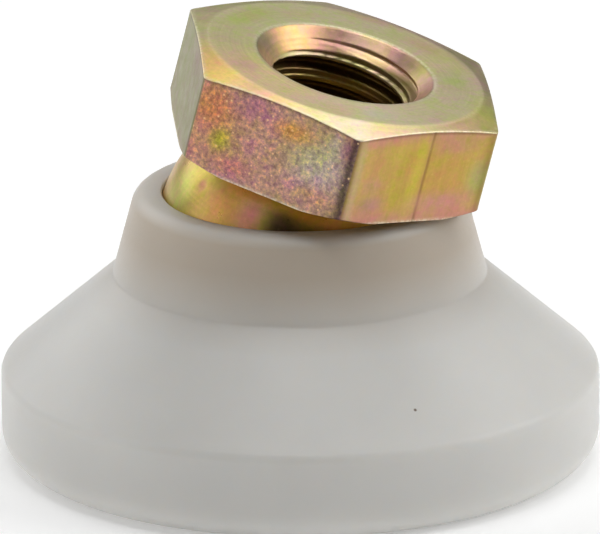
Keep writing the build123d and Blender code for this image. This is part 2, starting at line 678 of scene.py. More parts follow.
@dataclass
class NutFrame:
    """Where the ball's centre is, and how the upright nut is turned to its rest lean."""

    centre: np.ndarray = field(init=False)
    turn: np.ndarray = field(init=False)

    def __post_init__(self) -> None:
        """Read the tilt hinge and the nut's axis from the joints."""
        joints = {j["name"]: j for j in frame["joints"]}
        self.centre = np.array(joints["nut_tilt"]["pos_m"]) / MM
        lean = math.acos(joints["nut_spin"]["axis"][2])
        hinge = Vector(joints["nut_tilt"]["axis"])
        self.turn = np.array(Matrix.Rotation(lean, 3, hinge))

    def leaned(self, upright: np.ndarray) -> np.ndarray:
        """Turn upright points about the ball's centre and give them in metres."""
        return (upright @ self.turn.T + self.centre) * MM


# ---------------------------------------------------------------- foot


@dataclass
class FootMoulding:
    """The plastic base: band, cone, tapered neck, rim and the ball's socket."""

    columns: int = 320
    band_height: float = 7.0
    shoulder_height: float = 14.82
    neck_taper: float = 15.0
    throat: float = 0.583
    mouth_radius: float = 11.0
    lip_radius: float = 10.83
    rim_land: float = 2.06
    socket_radius: float = 11.51
    relief_inset: float = 6.0
    relief_depth: float = 0.8
    unevenness: float = 0.012
    finish: MilkyAcetal = field(default_factory=lambda: MilkyAcetal("milky_acetal"))

    def outline(self, ball_height: float) -> np.ndarray:
        """The half section, from the middle of the underside round to the socket's floor.

        Args:
            ball_height: height of the ball's centre, in millimetres.

        Returns:
            Points of r and z in millimetres.
        """
        low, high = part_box("foot_base")
        radius, top = high.x / MM, high.z / MM
        rim = self.mouth_radius + self.rim_land
        shoulder = rim + (top - self.shoulder_height) * math.tan(math.radians(self.neck_taper))
        relief = radius - self.relief_inset
        lip = math.asin(self.mouth_radius / self.socket_radius)
        outer = rounded([
            (0.0, self.relief_depth, 0), (relief, self.relief_depth, 0.35), (relief, 0.0, 0.25),
            (radius, 0.0, 2.3), (radius, self.band_height, 1.05),
            (shoulder, self.shoulder_height, 0.45), (rim, top, 1.3),
            (self.lip_radius, top, 0.22), (self.mouth_radius, top - self.throat, 0)], 9)
        angles = np.linspace(lip, math.pi, 40)[1:]
        socket = np.stack([self.socket_radius * np.sin(angles),
                           ball_height + self.socket_radius * np.cos(angles)], 1)
        socket[-1, 0] = 0.0
        return np.concatenate([divided(outer, 0.55), socket])

    def build(self, nut: NutFrame) -> bpy.types.Object:
        """Turn the half section about the vertical axis.

        Where the base meets the floor and the ball it stays round. Elsewhere the skin sinks in
        by a hundredth of a millimetre or so, as a moulding does when it cools. Three ejector
        pins and the gate leave shallow round marks in the hollow underneath.

        Args:
            nut: gives the height of the ball's centre.

        Returns:
            The moulding, riding on the foot.
        """
        path = self.outline(nut.centre[2])
        theta = np.linspace(0, 2 * math.pi, self.columns, endpoint=False)[None, :]
        r, z = np.broadcast_arrays(path[:, :1], path[:, 1:] + 0.0 * theta)
        x, y = r * np.cos(theta), r * np.sin(theta)
        outside = smooth((z - 1.5) / 1.5) * smooth((r - 12.4) / 0.6)
        sunk = self.unevenness * outside * (1.0 + waves(x, y, z, 11, 14.0))
        r = r - sunk
        z = z + self.underside_marks(x, y) * (z > self.relief_depth / 2) * (z < 2.0)
        piece = grid_mesh("foot_moulding", turned_grid(r, z, theta) * MM, Side.BOTH)
        piece.data.materials.append(self.finish.make())
        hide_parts("foot_base")
        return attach(piece, "foot")

    @staticmethod
    def underside_marks(x: np.ndarray, y: np.ndarray) -> np.ndarray:
        """How far up the hollow's roof is pushed in: a soft-edged disc at each mark.

        A mark's depth is full inside its radius and eases to nothing over the next 0.4 mm.

        Args:
            x, y: places, in millimetres.

        Returns:
            The depth at each place.
        """
        marks = [(0.0, 0.0, 1.6, 0.35)]
        marks += [(11.5 * math.cos(a), 11.5 * math.sin(a), 2.2, 0.12)
                  for a in np.radians((30.0, 150.0, 270.0))]
        depth = np.zeros(np.broadcast(x, y).shape)
        for mx, my, radius, deep in marks:
            away = np.hypot(x - mx, y - my)
            depth += deep * smooth((radius + 0.4 - away) / 0.4)
        return depth


# ---------------------------------------------------------------- ball


@dataclass(frozen=True)
class Bloom:
    """A soft patch of another colour, mostly of the plating and on the ball also of painted shade: its
    place, its half sizes, its hue and strength.
    """

    across: float
    up: float
    half_width: float
    half_height: float
    colour: tuple[float, float, float]
    strength: float

    def over(self, tint: np.ndarray, across: np.ndarray, up: np.ndarray,
             period: float = 0.0) -> np.ndarray:
        """Lay the patch over a tint; its share falls off as a bell curve both ways.

        Args:
            tint: the colours so far.
            across, up: each point's place, in the patch's own units.
            period: the turn after which across repeats, or 0.

        Returns:
            The new colours.
        """
        du = across - self.across
        if period:
            du = (du + period / 2) % period - period / 2
        away = (du / self.half_width)**2 + ((up - self.up) / self.half_height)**2
        share = self.strength * np.exp(-away**1.4)
        return tint + (linear(self.colour) - tint) * share[..., None]


@dataclass
class SwivelBall:
    """The plated ball under the hexagon, with the small fillet where the two meet."""

    columns: int = 300
    radius: float = 11.43
    top: float = 7.2
    core_hole: float = 7.163
    flat_depth: float = 8.526
    fillet: float = 0.30
    pit_latitude: float = 24.1
    pit_longitude: float = -149.3
    pit_radius: float = 0.48
    blooms: tuple[Bloom, ...] = (
        Bloom(-161.0, 16.0, 9.0, 12.0, (208, 212, 116), 0.8),
        Bloom(-150.0, 27.0, 9.0, 7.0, (216, 196, 100), 0.8),
        Bloom(-131.0, 24.0, 9.0, 12.0, (220, 164, 92), 0.85),
        Bloom(-119.0, 23.0, 5.5, 9.0, (222, 150, 132), 0.9),
        # dark patches: partly plating colour and partly painted shade and dark reflection beside the
        # hexagon and rim
        Bloom(-104.0, 22.5, 7.0, 6.5, (110, 76, 74), 0.88),
        Bloom(-92.0, 21.0, 9.0, 5.0, (120, 88, 52), 0.60),
        Bloom(-94.0, 31.0, 9.0, 5.0, (190, 150, 76), 0.8),
        Bloom(-60.0, 28.0, 12.0, 10.0, (198, 186, 104), 0.7),
        Bloom(-30.0, 20.0, 11.0, 8.0, (206, 150, 128), 0.7),
        Bloom(-4.0, 32.0, 13.0, 9.0, (196, 184, 104), 0.7),
        Bloom(22.0, 18.0, 10.0, 8.0, (212, 160, 116), 0.7),
        Bloom(48.0, 30.0, 12.0, 9.0, (190, 182, 108), 0.7),
        Bloom(76.0, 16.0, 12.0, 9.0, (204, 152, 136), 0.7),
        Bloom(104.0, 30.0, 12.0, 8.0, (206, 188, 112), 0.7),
        Bloom(132.0, 18.0, 11.0, 9.0, (208, 158, 124), 0.7),
        Bloom(158.0, 30.0, 11.0, 9.0, (192, 184, 106), 0.7),
    )
    finish: YellowPlating = field(default_factory=lambda: YellowPlating(
        "plated_ball_steel", roughness=0.30, rings_per_mm=3.2))

    def outline(self) -> np.ndarray:
        """The ring's closed half section, from the flat underneath round to the core's hole.

        Returns:
            Points of r and z in millimetres.
        """
        neck = math.sqrt(self.radius**2 - self.top**2)
        low = math.asin(-self.flat_depth / self.radius)
        high = math.asin((self.top - self.fillet) / self.radius)
        angles = np.linspace(low, high, 92)
        sphere = self.radius * np.stack([np.cos(angles), np.sin(angles)], 1)
        flare_t = np.linspace(0, 1, 6)[1:, None]
        start, end = sphere[-1], np.array([neck + self.fillet, self.top])
        knee = np.array([neck + 0.02, self.top - 0.04])
        flare = (1 - flare_t)**2 * start + 2 * flare_t * (1 - flare_t) * knee + flare_t**2 * end
        inner = np.array([[self.core_hole, self.top], [self.core_hole, 0.0],
                          [self.core_hole, -self.flat_depth]])
        return np.concatenate([inner[2:], sphere, flare, inner[:2]])

    def build(self, nut: NutFrame) -> bpy.types.Object:
        """Turn the ring's section about the nut's axis and press a small pit into the plating.

        The pit is flat-bottomed, 0.03 mm deep and about a millimetre across, pushed in towards
        the centre: its depth falls off as e to the minus fourth power of distance over radius.

        Args:
            nut: the nut's centre and lean.

        Returns:
            The ball, riding on the body that tips.
        """
        path = self.outline()
        theta = np.linspace(0, 2 * math.pi, self.columns, endpoint=False)[None, :]
        r, z = np.broadcast_arrays(path[:, :1], path[:, 1:] + 0.0 * theta)
        lat, lon = math.radians(self.pit_latitude), math.radians(self.pit_longitude)
        pit = self.radius * np.array([math.cos(lat) * math.cos(lon),
                                      math.cos(lat) * math.sin(lon), math.sin(lat)])
        grid = turned_grid(r, z, theta)
        away = np.linalg.norm(grid - pit, axis=-1, keepdims=True)
        bell = np.exp(-(away / self.pit_radius)**4)
        grid = grid * (1 - 0.03 / self.radius * bell)
        piece = grid_mesh("swivel_ball_plated", nut.leaned(grid), Side.NONE, loop=True)
        self.dress(piece, grid, bell[..., 0], theta)
        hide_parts("swivel_ball")
        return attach(piece, "ball")

    def dress(self, piece: bpy.types.Object, grid: np.ndarray, pit: np.ndarray,
              theta: np.ndarray) -> None:
        """Paint the plating's blooms by longitude and latitude in degrees, and the pit pink. Two dark
        blooms are partly plating colour and partly painted shade and dark reflection beside the hexagon.

        Args:
            piece: the ball.
            grid: its points in the upright frame.
            pit: how much of the pit each point is in.
            theta: angles of the columns.
        """
        longitude = np.degrees(theta) + 0.0 * grid[..., 0]
        latitude = np.degrees(np.arcsin(np.clip(grid[..., 2] / self.radius, -1, 1)))
        tint = linear((204, 172, 98)) + 0.0 * grid
        for bloom in self.blooms:
            tint = bloom.over(tint, longitude, latitude, period=360.0)
        pink = linear((206, 150, 116))
        tint += (pink - tint) * pit[..., None] * 0.9
        share = 0.0 * longitude
        finish = np.stack([0.12 + 0 * share, 0 * share, 0.55 + 0 * share], -1)
        paint(piece, "upright", spread(grid, Side.NONE))
        paint(piece, "tint", spread(tint, Side.NONE), colour=True)
        paint(piece, "finish", spread(finish, Side.NONE))
        piece.data.materials.append(self.finish.make())


# ---------------------------------------------------------------- hexagon


@dataclass(frozen=True)
class FacetFinish:
    """One side face of the hexagon: its plating's colour from end to end, and its grain.

    The blooms are placed in millimetres along the face from its middle and up from the ball's
    centre.
    """

    start: tuple[float, float, float]
    middle: tuple[float, float, float]
    end: tuple[float, float, float]
    band: tuple[float, float, float]
    grain: float
    blooms: tuple[Bloom, ...] = ()


GOLD_FACET = FacetFinish((198, 163, 100), (196, 162, 84), (196, 164, 88), (198, 142, 128), 0.10, (
    Bloom(-6.3, 11.0, 0.45, 20.0, (200, 182, 138), 0.60),
    Bloom(-4.9, 14.3, 1.6, 0.6, (200, 150, 120), 0.65),
    Bloom(-2.6, 13.6, 1.3, 0.9, (202, 172, 92), 0.60),
    Bloom(-0.5, 11.3, 0.55, 3.6, (206, 184, 82), 0.85),
    Bloom(0.47, 11.25, 0.15, 30.0, (126, 90, 58), 0.55),
    Bloom(3.2, 13.9, 2.6, 0.9, (194, 146, 122), 0.65),
    Bloom(5.9, 10.8, 1.1, 1.6, (172, 172, 112), 0.75),
    Bloom(-4.6, 10.6, 1.0, 0.6, (196, 146, 132), 0.55),
    Bloom(-4.4, 9.0, 1.3, 0.7, (184, 136, 138), 0.65),
    Bloom(2.6, 8.9, 3.2, 0.8, (202, 146, 138), 0.70)))
MAUVE_FACET = FacetFinish((205, 162, 132), (203, 162, 150), (200, 170, 160), (200, 162, 146), 0.95, (
    Bloom(-5.4, 12.7, 1.7, 1.8, (226, 156, 96), 0.75),
    Bloom(-4.4, 10.3, 0.95, 1.2, (192, 186, 74), 0.92),
    Bloom(-2.5, 13.9, 2.0, 0.9, (178, 130, 142), 0.70),
    Bloom(1.6, 13.2, 1.8, 0.8, (232, 166, 86), 0.85),
    Bloom(3.9, 11.3, 2.3, 1.9, (208, 198, 190), 0.80),
    Bloom(5.2, 13.2, 1.0, 1.2, (196, 190, 182), 0.60),
    Bloom(6.1, 13.8, 0.7, 1.6, (184, 126, 140), 0.65),
    Bloom(4.6, 8.8, 1.9, 0.7, (226, 176, 136), 0.55),
    Bloom(-2.8, 8.6, 1.7, 0.7, (204, 140, 124), 0.60)))
OLIVE_FACET = FacetFinish((149, 144, 104), (147, 141, 102), (142, 134, 98), (152, 142, 104), 0.06)
COPPER_FACET = FacetFinish((200, 160, 108), (204, 164, 110), (196, 164, 118), (200, 150, 124), 0.35, (
    Bloom(-3.5, 12.0, 2.2, 1.5, (176, 176, 110), 0.6),
    Bloom(2.5, 10.0, 2.0, 1.4, (196, 140, 134), 0.6)))
STRAW_FACET = FacetFinish((200, 176, 112), (198, 174, 116), (194, 164, 112), (198, 150, 126), 0.12, (
    Bloom(2.0, 12.5, 2.6, 1.2, (196, 148, 130), 0.6),
    Bloom(-3.0, 9.8, 2.0, 1.3, (178, 178, 108), 0.6)))
ROSE_FACET = FacetFinish((202, 158, 126), (196, 156, 116), (198, 168, 110), (196, 144, 130), 0.20, (
    Bloom(-1.0, 11.0, 2.4, 2.0, (200, 188, 100), 0.7),
    Bloom(4.0, 13.0, 1.6, 1.2, (180, 132, 140), 0.6)))


@dataclass
class Section:
    """The hexagon's skin while it is being laid out: rows of radius and height, zone by zone."""

    one: np.ndarray
    rows: list[tuple[np.ndarray, np.ndarray, Zone]] = field(default_factory=list)

    def add(self, r: np.ndarray, z: np.ndarray, zone: Zone) -> None:
        """Add rows, stretched to every column.

        Args:
            r, z: radius and height, each rows by columns, or rows by one, or one number.
            zone: the part of the skin that the rows belong to.
        """
        r, z = np.broadcast_arrays(r * self.one, z * self.one)
        self.rows.append((r, z, zone))

    def joined(self) -> tuple[np.ndarray, np.ndarray, np.ndarray]:
        """Stack everything added so far.

        Returns:
            Radius and height, rows by columns, and the zone number of each row.
        """
        r = np.concatenate([row[0] for row in self.rows])
        z = np.concatenate([row[1] for row in self.rows])
        zone = np.concatenate([np.full(len(row[0]), int(row[2])) for row in self.rows])
        return r, z, zone


@dataclass
class TappedHexagon:
    """The hexagon with rounded corners and chamfered ends, its tapped hole and its core."""

    flats: float = 23.8125
    height: float = 8.04
    underside: float = 7.2302
    corner: float = 0.65
    turn_deg: float = -84.0
    top_inset: float = 0.75
    top_slope: float = 13.6
    low_start: float = 0.46
    low_slope: float = 23.8
    edge: float = 0.10
    pitch: float = 25.4 / 13
    major: float = 12.7
    countersink_margin: float = 0.82
    core_radius: float = 7.1129
    core_depth: float = 8.5258
    hole_end: float = -2.5973
    drill_point: float = 118.0
    run_out: float = 2.6
    seen_depth: float = 6.0
    thread_start: float = 0.89
    bored: float = 5.65
    burr: float = 0.30
    lip_depth: float = 4.4
    lip_fade: float = 1.4
    score_at: float = 0.47
    score_width: float = 0.15
    score_depth: float = 0.04
    columns_per_corner: int = 54
    facets: tuple[FacetFinish, ...] = (
        GOLD_FACET, STRAW_FACET, COPPER_FACET, ROSE_FACET, OLIVE_FACET, MAUVE_FACET)
    corner_lines: tuple[float, ...] = (0.74, 0.30, 0.25, 0.30, 0.25, 0.10)
    top_blooms: tuple[Bloom, ...] = (
        Bloom(296.0, 9.4, 7.0, 1.0, (206, 172, 150), 0.60),
        Bloom(163.0, 10.9, 13.0, 0.8, (196, 160, 140), 0.75),
        Bloom(133.0, 9.8, 10.0, 1.0, (200, 164, 136), 0.60),
        Bloom(116.0, 11.4, 14.0, 0.7, (186, 152, 134), 0.70),
        Bloom(350.0, 9.6, 9.0, 1.1, (226, 194, 172), 0.70),
        Bloom(10.5, 9.4, 8.0, 0.9, (206, 204, 178), 0.60),
        Bloom(71.0, 11.3, 9.0, 0.8, (190, 190, 108), 0.70),
        Bloom(229.0, 9.6, 16.0, 1.0, (190, 186, 112), 0.55),
        Bloom(95.0, 9.0, 12.0, 0.9, (184, 186, 124), 0.60),
        Bloom(200.0, 9.0, 10.0, 0.8, (196, 190, 124), 0.50))
    finish: YellowPlating = field(default_factory=lambda: YellowPlating("plated_nut_steel"))

    def angles(self) -> np.ndarray:
        """Angles round the nut, close together at the corners and at the scored line.

        Within half a face of a corner the angle is 30 degrees x (0.3 s + 0.7 s^3), with s evenly
        spaced from -1 to 1, so that the steps are small near the corner.

        Returns:
            The angles in radians, from corner 0.
        """
        s = (np.arange(self.columns_per_corner) + 0.5) / self.columns_per_corner * 2 - 1
        near = 30.0 * (0.3 * s + 0.7 * s**3)
        spokes = (near[None, :] + 60.0 * np.arange(6)[:, None]).ravel()
        score = 30.0 + math.degrees(math.atan2(self.score_at, self.flats / 2))
        extra = score + np.linspace(-1.2, 1.2, 11)
        return np.radians(np.unique(np.concatenate([spokes, extra]).round(4)))

    def reach(self, spoke: np.ndarray) -> np.ndarray:
        """Distance from the axis to the hexagon's outline, for angles counted from corner 0.

        On a flat it is apothem / cos(angle off the flat's middle). Round a corner it is the far
        side of the corner's circle, whose centre is (apothem - radius) / cos 30 from the axis.

        Args:
            spoke: angles from corner 0.

        Returns:
            The distance at each angle.
        """
        half = self.flats / 2
        off = (spoke + math.pi / 6) % (math.pi / 3) - math.pi / 6
        centre = (half - self.corner) / math.cos(math.pi / 6)
        ease = math.atan2(self.corner * 0.5, centre + self.corner * math.cos(math.pi / 6))
        flat = half / np.cos(math.pi / 6 - np.abs(off))
        inside = np.maximum(self.corner**2 - (centre * np.sin(off))**2, 0.0)
        arc = centre * np.cos(off) + np.sqrt(inside)
        return np.where(np.abs(off) < ease, arc, flat)

    def thread(self, spoke: np.ndarray, z: np.ndarray) -> np.ndarray:
        """Radius of the tapped wall: a right-hand 60 degree thread.

        The distance from the middle of the nearest groove, along the axis, sets the radius: it
        is the major radius in the groove's flat, falls 1.732 mm for each mm beyond it, and stops
        at the bored radius. The tap rolls the lower half of each crest into a lip that stands
        0.3 mm further in over the upper turns and eases away below them. It all fades to the
        drilled radius over the last turns, where the tap's lead ends.

        Args:
            spoke: angles from corner 0.
            z: height above the ball's centre.

        Returns:
            The radius at each angle and height.
        """
        small = (self.major - self.pitch) / 2
        phase = z / self.pitch - spoke / (2 * math.pi) - self.thread_start
        off = phase - np.round(phase)
        groove = self.major / 2 - (np.abs(off) * self.pitch - self.pitch / 16) / math.tan(math.radians(30))
        wall = np.clip(groove, self.bored, self.major / 2)
        lip = smooth((0.100 - np.abs(off - 0.40)) / 0.035)
        lipless = self.underside + self.height - self.lip_depth
        wall = wall - self.burr * lip * smooth((z - lipless) / self.lip_fade)
        fade = smooth((z - self.hole_end - 0.8) / self.run_out)
        return small + (wall - small) * fade

    def build(self, nut: NutFrame) -> bpy.types.Object:
        """Lay the whole skin out as one grid: rows along the section, columns round the axis.

        The rows run out along the core's end, up the core, out along the underside, up the
        sides, in over the chamfer and the top face, and down the tapped hole to its point. The
        hexagon's reach, the chamfers' cones and the thread give r and z for each column.

        Args:
            nut: the nut's centre and lean.

        Returns:
            The hexagon, riding on the body that turns.
        """
        spoke = self.angles()[None, :]
        reach = self.reach(spoke)
        reach = reach - self.scored(spoke)
        section = Section(np.ones_like(reach))
        self.add_core(section)
        self.add_outside(section, spoke, reach)
        self.add_top(section, reach)
        self.add_hole(section, spoke)
        r, z, zone = section.joined()
        theta = spoke + math.radians(self.turn_deg)
        grid = turned_grid(r, z, theta)
        piece = grid_mesh("hexagon_plated", nut.leaned(grid), Side.BOTH)
        self.dress(piece, grid, zone, spoke, r, z)
        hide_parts("hex_nut")
        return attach(piece, "nut")

    def low_face(self, r: np.ndarray) -> np.ndarray:
        """Height of the underside at radius r: flat, then rising with the lower chamfer."""
        over = np.maximum(r - (self.flats / 2 + self.low_start), 0)
        return self.underside + over * math.tan(math.radians(self.low_slope))

    def high_face(self, r: np.ndarray) -> np.ndarray:
        """Height of the upper face at radius r: flat, then falling with the upper chamfer."""
        over = np.maximum(r - (self.flats / 2 - self.top_inset), 0)
        return self.underside + self.height - over * math.tan(math.radians(self.top_slope))

    def add_core(self, section: Section) -> None:
        """Add the core's end and its wall, up to the underside.

        Args:
            section: the rows so far.
        """
        ends = np.array([0.0, 3.0, self.core_radius - 0.3])[:, None]
        section.add(ends, np.array(-self.core_depth), Zone.CORE)
        wall = np.linspace(-self.core_depth + 0.3, self.underside, 9)[:, None]
        section.add(np.array(self.core_radius), wall, Zone.CORE)

    def add_outside(self, section: Section, spoke: np.ndarray, reach: np.ndarray) -> None:
        """Add the underside, its rounded edge and the sides.

        Args:
            section: the rows so far.
            spoke: angles from corner 0, in radians.
            reach: the outline's distance from the axis at each angle.
        """
        flat_edge = np.minimum(self.flats / 2 + self.low_start, reach - 3 * self.edge)
        r = self.core_radius + (flat_edge - self.core_radius) * np.linspace(0, 1, 9)[1:, None]
        section.add(r, self.low_face(r), Zone.UNDERSIDE)
        r = flat_edge + (reach - self.edge - flat_edge) * np.linspace(0, 1, 6)[1:, None]
        section.add(r, self.low_face(r), Zone.UNDERSIDE)
        low, high = self.low_face(reach), self.high_face(reach)
        inner = reach - self.edge
        section.add(*self.corner_round((inner, self.low_face(inner)), (reach, low),
                                       (reach, low + self.edge)), Zone.SIDE)
        share = np.concatenate([[0.015, 0.035], np.linspace(0.06, 0.94, 15), [0.965, 0.985, 1.0]])
        z = low + self.edge + (high - low - 2 * self.edge) * share[:, None]
        section.add(self.dented(reach, spoke, z, low, high), z, Zone.SIDE)

    def add_top(self, section: Section, reach: np.ndarray) -> None:
        """Add the rounded upper edge, the chamfer and the flat top, in to the countersink.

        Args:
            section: the rows so far.
            reach: the outline's distance from the axis at each angle.
        """
        inner, high = reach - self.edge, self.high_face(reach)
        section.add(*self.corner_round((reach, high - self.edge), (reach, high),
                                       (inner, self.high_face(inner))), Zone.CHAMFER)
        flat_top = self.flats / 2 - self.top_inset
        r = inner + (flat_top - inner) * np.linspace(0, 1, 7)[1:, None]
        section.add(r, self.high_face(r), Zone.CHAMFER)
        mouth = self.major / 2 + self.countersink_margin + 0.08
        r = flat_top + (mouth - flat_top) * np.linspace(0, 1, 12)[1:, None]
        section.add(r, np.array(self.underside + self.height), Zone.TOP)

    def add_hole(self, section: Section, spoke: np.ndarray) -> None:
        """Add the countersink, the tapped wall and the drill's point.

        The wall is the wider of the countersink's 45 degree cone and the thread. Its rows are
        closer together where they can be seen from above.

        Args:
            section: the rows so far.
            spoke: angles from corner 0, in radians.
        """
        top = self.underside + self.height
        seen = np.arange(top - 0.08, top - self.seen_depth, -self.pitch / 30)
        below = np.arange(seen[-1], self.hole_end, -self.pitch / 16)[1:]
        z = np.concatenate([seen, below])[:, None]
        cone = self.major / 2 + self.countersink_margin - (top - z)
        section.add(np.maximum(cone, self.thread(spoke, z)), z, Zone.BORE)
        small = (self.major - self.pitch) / 2
        point = small / math.tan(math.radians(self.drill_point / 2))
        share = np.linspace(0, 1, 8)[:, None]
        section.add(small * (1 - share), self.hole_end - point * share, Zone.POINT)

    def corner_round(self, a: tuple, knee: tuple, b: tuple) -> tuple[np.ndarray, np.ndarray]:
        """Four rows that round an edge: a quadratic curve from a to b, drawn to the knee.

        Args:
            a, knee, b: radius and height of the curve's start, its corner and its end.

        Returns:
            The rows' radii and heights.
        """
        t = np.array([0.25, 0.5, 0.75, 1.0])[:, None]
        r, z = ((1 - t)**2 * a[k] + 2 * t * (1 - t) * knee[k] + t**2 * b[k] for k in (0, 1))
        return r, z

    def scored(self, spoke: np.ndarray) -> np.ndarray:
        """Depth of the line that the drawing die left down face 0: a bell curve across it.

        Args:
            spoke: angles from corner 0.

        Returns:
            The depth at each angle.
        """
        off = np.degrees(spoke) % 360 - 30.0
        across = np.tan(np.radians(np.clip(off, -29, 29))) * self.flats / 2 - self.score_at
        return self.score_depth * np.exp(-(across / self.score_width)**2)

    def dented(self, reach: np.ndarray, spoke: np.ndarray, z: np.ndarray, low: np.ndarray,
               high: np.ndarray) -> np.ndarray:
        """Reach of the side faces with a drawn bar's slight hollows, at most 0.02 mm deep.

        Args:
            reach: the outline's distance from the axis.
            spoke: angles from corner 0.
            z: heights of the points.
            low, high: the lower and upper edges of the sides.

        Returns:
            The reach with its hollows.
        """
        x, y = 12 * np.cos(spoke), 12 * np.sin(spoke)
        inside = smooth((z - low) / 0.8) * smooth((high - z) / 0.8)
        return reach - 0.010 * inside * (1 + waves(x, y, 0.25 * z, 23, 4.5))

    def dress(self, piece: bpy.types.Object, grid: np.ndarray, zone: np.ndarray,
              spoke: np.ndarray, r: np.ndarray, z: np.ndarray) -> None:
        """Paint the plating's colour, grain, worn edges with their painted highlight, and turning marks on
        every row.

        Args:
            piece: the hexagon.
            grid: its points in the nut's upright frame, in millimetres.
            zone: the zone number of each row.
            spoke: angles from corner 0, in radians.
            r, z: radius and height of the points.
        """
        zone = zone[:, None] + 0 * r
        pick = zone[..., None]
        hidden = linear((172, 140, 86))
        tint = np.where(pick <= Zone.UNDERSIDE, hidden, self.side_tint(spoke, z))
        tint = np.where(pick == Zone.CHAMFER, self.chamfer_tint_and_highlight(spoke, r), tint)
        tint = np.where(pick == Zone.TOP, self.top_tint(spoke, r), tint)
        tint = np.where(pick >= Zone.BORE, self.bore_tint(spoke, r, z), tint)
        grains = np.array([f.grain for f in self.facets])
        face = (np.degrees(spoke) // 60).astype(int) % 6 + 0 * zone.astype(int)
        side, chamfer, flat = (zone == k for k in (Zone.SIDE, Zone.CHAMFER, Zone.TOP))
        grain = np.where(side, grains[face], 0.10)
        edge = self.reach(spoke) - r
        # worn edges and painted highlight on the lower edge, the chamfer's rounded edge, the top's inner
        # ring and the countersink's lip
        wear_and_highlight = 0.85 * smooth((self.underside + 0.30 - z) / 0.25) * side
        wear_and_highlight = np.where(chamfer, 0.75 * np.exp(-(edge / 0.14)**2), wear_and_highlight)
        inner = np.exp(-((r - (self.flats / 2 - self.top_inset)) / 0.10)**2)
        lip = np.exp(-((r - self.major / 2 - self.countersink_margin - 0.06) / 0.11)**2)
        wear_and_highlight = np.where(chamfer, np.maximum(wear_and_highlight, 0.22 * inner), wear_and_highlight)
        wear_and_highlight = np.where(flat, np.maximum(0.22 * inner, 0.60 * lip), wear_and_highlight)
        turned = np.where(side, 0.0, np.where(chamfer, 0.35, np.where(flat, 0.6, 1.0)))
        finish = np.stack([grain, np.clip(wear_and_highlight, 0, 1), turned], -1)
        paint(piece, "upright", spread(grid, Side.BOTH))
        paint(piece, "tint", spread(tint, Side.BOTH), colour=True)
        paint(piece, "finish", spread(finish, Side.BOTH))
        piece.data.materials.append(self.finish.make())

    def side_tint(self, spoke: np.ndarray, z: np.ndarray) -> np.ndarray:
        """Plating colour on the sides.

        Along a face it runs start, middle, end; near the top and bottom edges it turns to the
        face's band colour. The face's blooms are laid over that, and then a dark line down each
        corner, and a line of painted dark reflection just under the top edge.

        Args:
            spoke: angles from corner 0.
            z: heights of the points.

        Returns:
            Linear colours.
        """
        turn = np.degrees(spoke) % 360 / 60.0
        face = turn.astype(int) % 6
        along = turn - np.floor(turn)
        parts = {k: np.array([linear(getattr(f, k)) for f in self.facets])
                 for k in ("start", "middle", "end", "band")}
        near = np.clip(along * 2, 0, 1)[..., None]
        far = np.clip(along * 2 - 1, 0, 1)[..., None]
        tint = parts["start"][face] * (1 - near) + parts["middle"][face] * near
        tint = tint * (1 - far) + parts["end"][face] * far
        rise = (z - self.underside) / self.height
        band = np.clip(smooth((0.20 - rise) / 0.16) + smooth((rise - 0.82) / 0.14), 0, 1)
        tint = tint + (parts["band"][face] - tint) * band[..., None] * 0.75
        across = np.tan(np.radians(along * 60 - 30)) * self.flats / 2 + 0.0 * z
        height = z + 0.0 * across
        for k, facet in enumerate(self.facets):
            here = (face == k)[..., None]
            patched = tint
            for bloom in facet.blooms:
                patched = bloom.over(patched, across, height)
            tint = np.where(here, patched, tint)
        off = (np.degrees(spoke) + 30) % 60 - 30
        corner = ((np.degrees(spoke) + 30) // 60).astype(int) % 6
        aside = self.reach(spoke) * np.sin(np.radians(off)) + 0.22
        line = np.array(self.corner_lines)[corner] * np.exp(-(aside / 0.46)**2)
        # painted dark reflection: a dark line just under the rounded top edge
        edge = 0.45 * smooth((z - (self.underside + self.height - 0.95)) / 0.3)
        edge = edge * np.exp(-((self.top_edge(spoke) - z - 0.12) / 0.13)**2)
        return tint * (1 - np.maximum(line, edge)[..., None])

    def top_edge(self, spoke: np.ndarray) -> np.ndarray:
        """Height of the upper edge of the sides: the chamfer's cone where the outline meets it."""
        over = np.maximum(self.reach(spoke) - (self.flats / 2 - self.top_inset), 0)
        return self.underside + self.height - over * math.tan(math.radians(self.top_slope))

    def round_the_axis(self, spoke: np.ndarray, r: np.ndarray,
                       ring: list[tuple[float, tuple[float, float, float]]]) -> np.ndarray:
        """Read a colour round the axis from a ring of (degrees, colour), blended between them.

        Args:
            spoke: angles from corner 0.
            r: radii, which only give the shape.
            ring: the colours by angle.

        Returns:
            Linear colours.
        """
        at = np.array([a for a, _ in ring], float)
        tones = np.array([linear(c) for _, c in ring])
        degrees = np.degrees(spoke) % 360 + 0 * r
        return np.stack([np.interp(degrees, at, tones[:, c], period=360) for c in range(3)], -1)

    def top_tint(self, spoke: np.ndarray, r: np.ndarray) -> np.ndarray:
        """Plating colour on the flat top: a ring of colours, and blooms by angle and radius.

        Args:
            spoke: angles from corner 0.
            r: radii of the points.

        Returns:
            Linear colours.
        """
        tint = self.round_the_axis(spoke, r, [
            (3, (222, 206, 178)), (35, (206, 194, 156)), (96, (197, 190, 146)),
            (112, (208, 190, 154)), (154, (200, 190, 152)), (197, (198, 192, 150)),
            (240, (196, 190, 146)), (267, (196, 189, 138)), (302, (222, 206, 146)),
            (328, (224, 200, 158))])
        degrees = np.degrees(spoke) % 360 + 0 * r
        for bloom in self.top_blooms:
            tint = bloom.over(tint, degrees, r, period=360.0)
        return tint

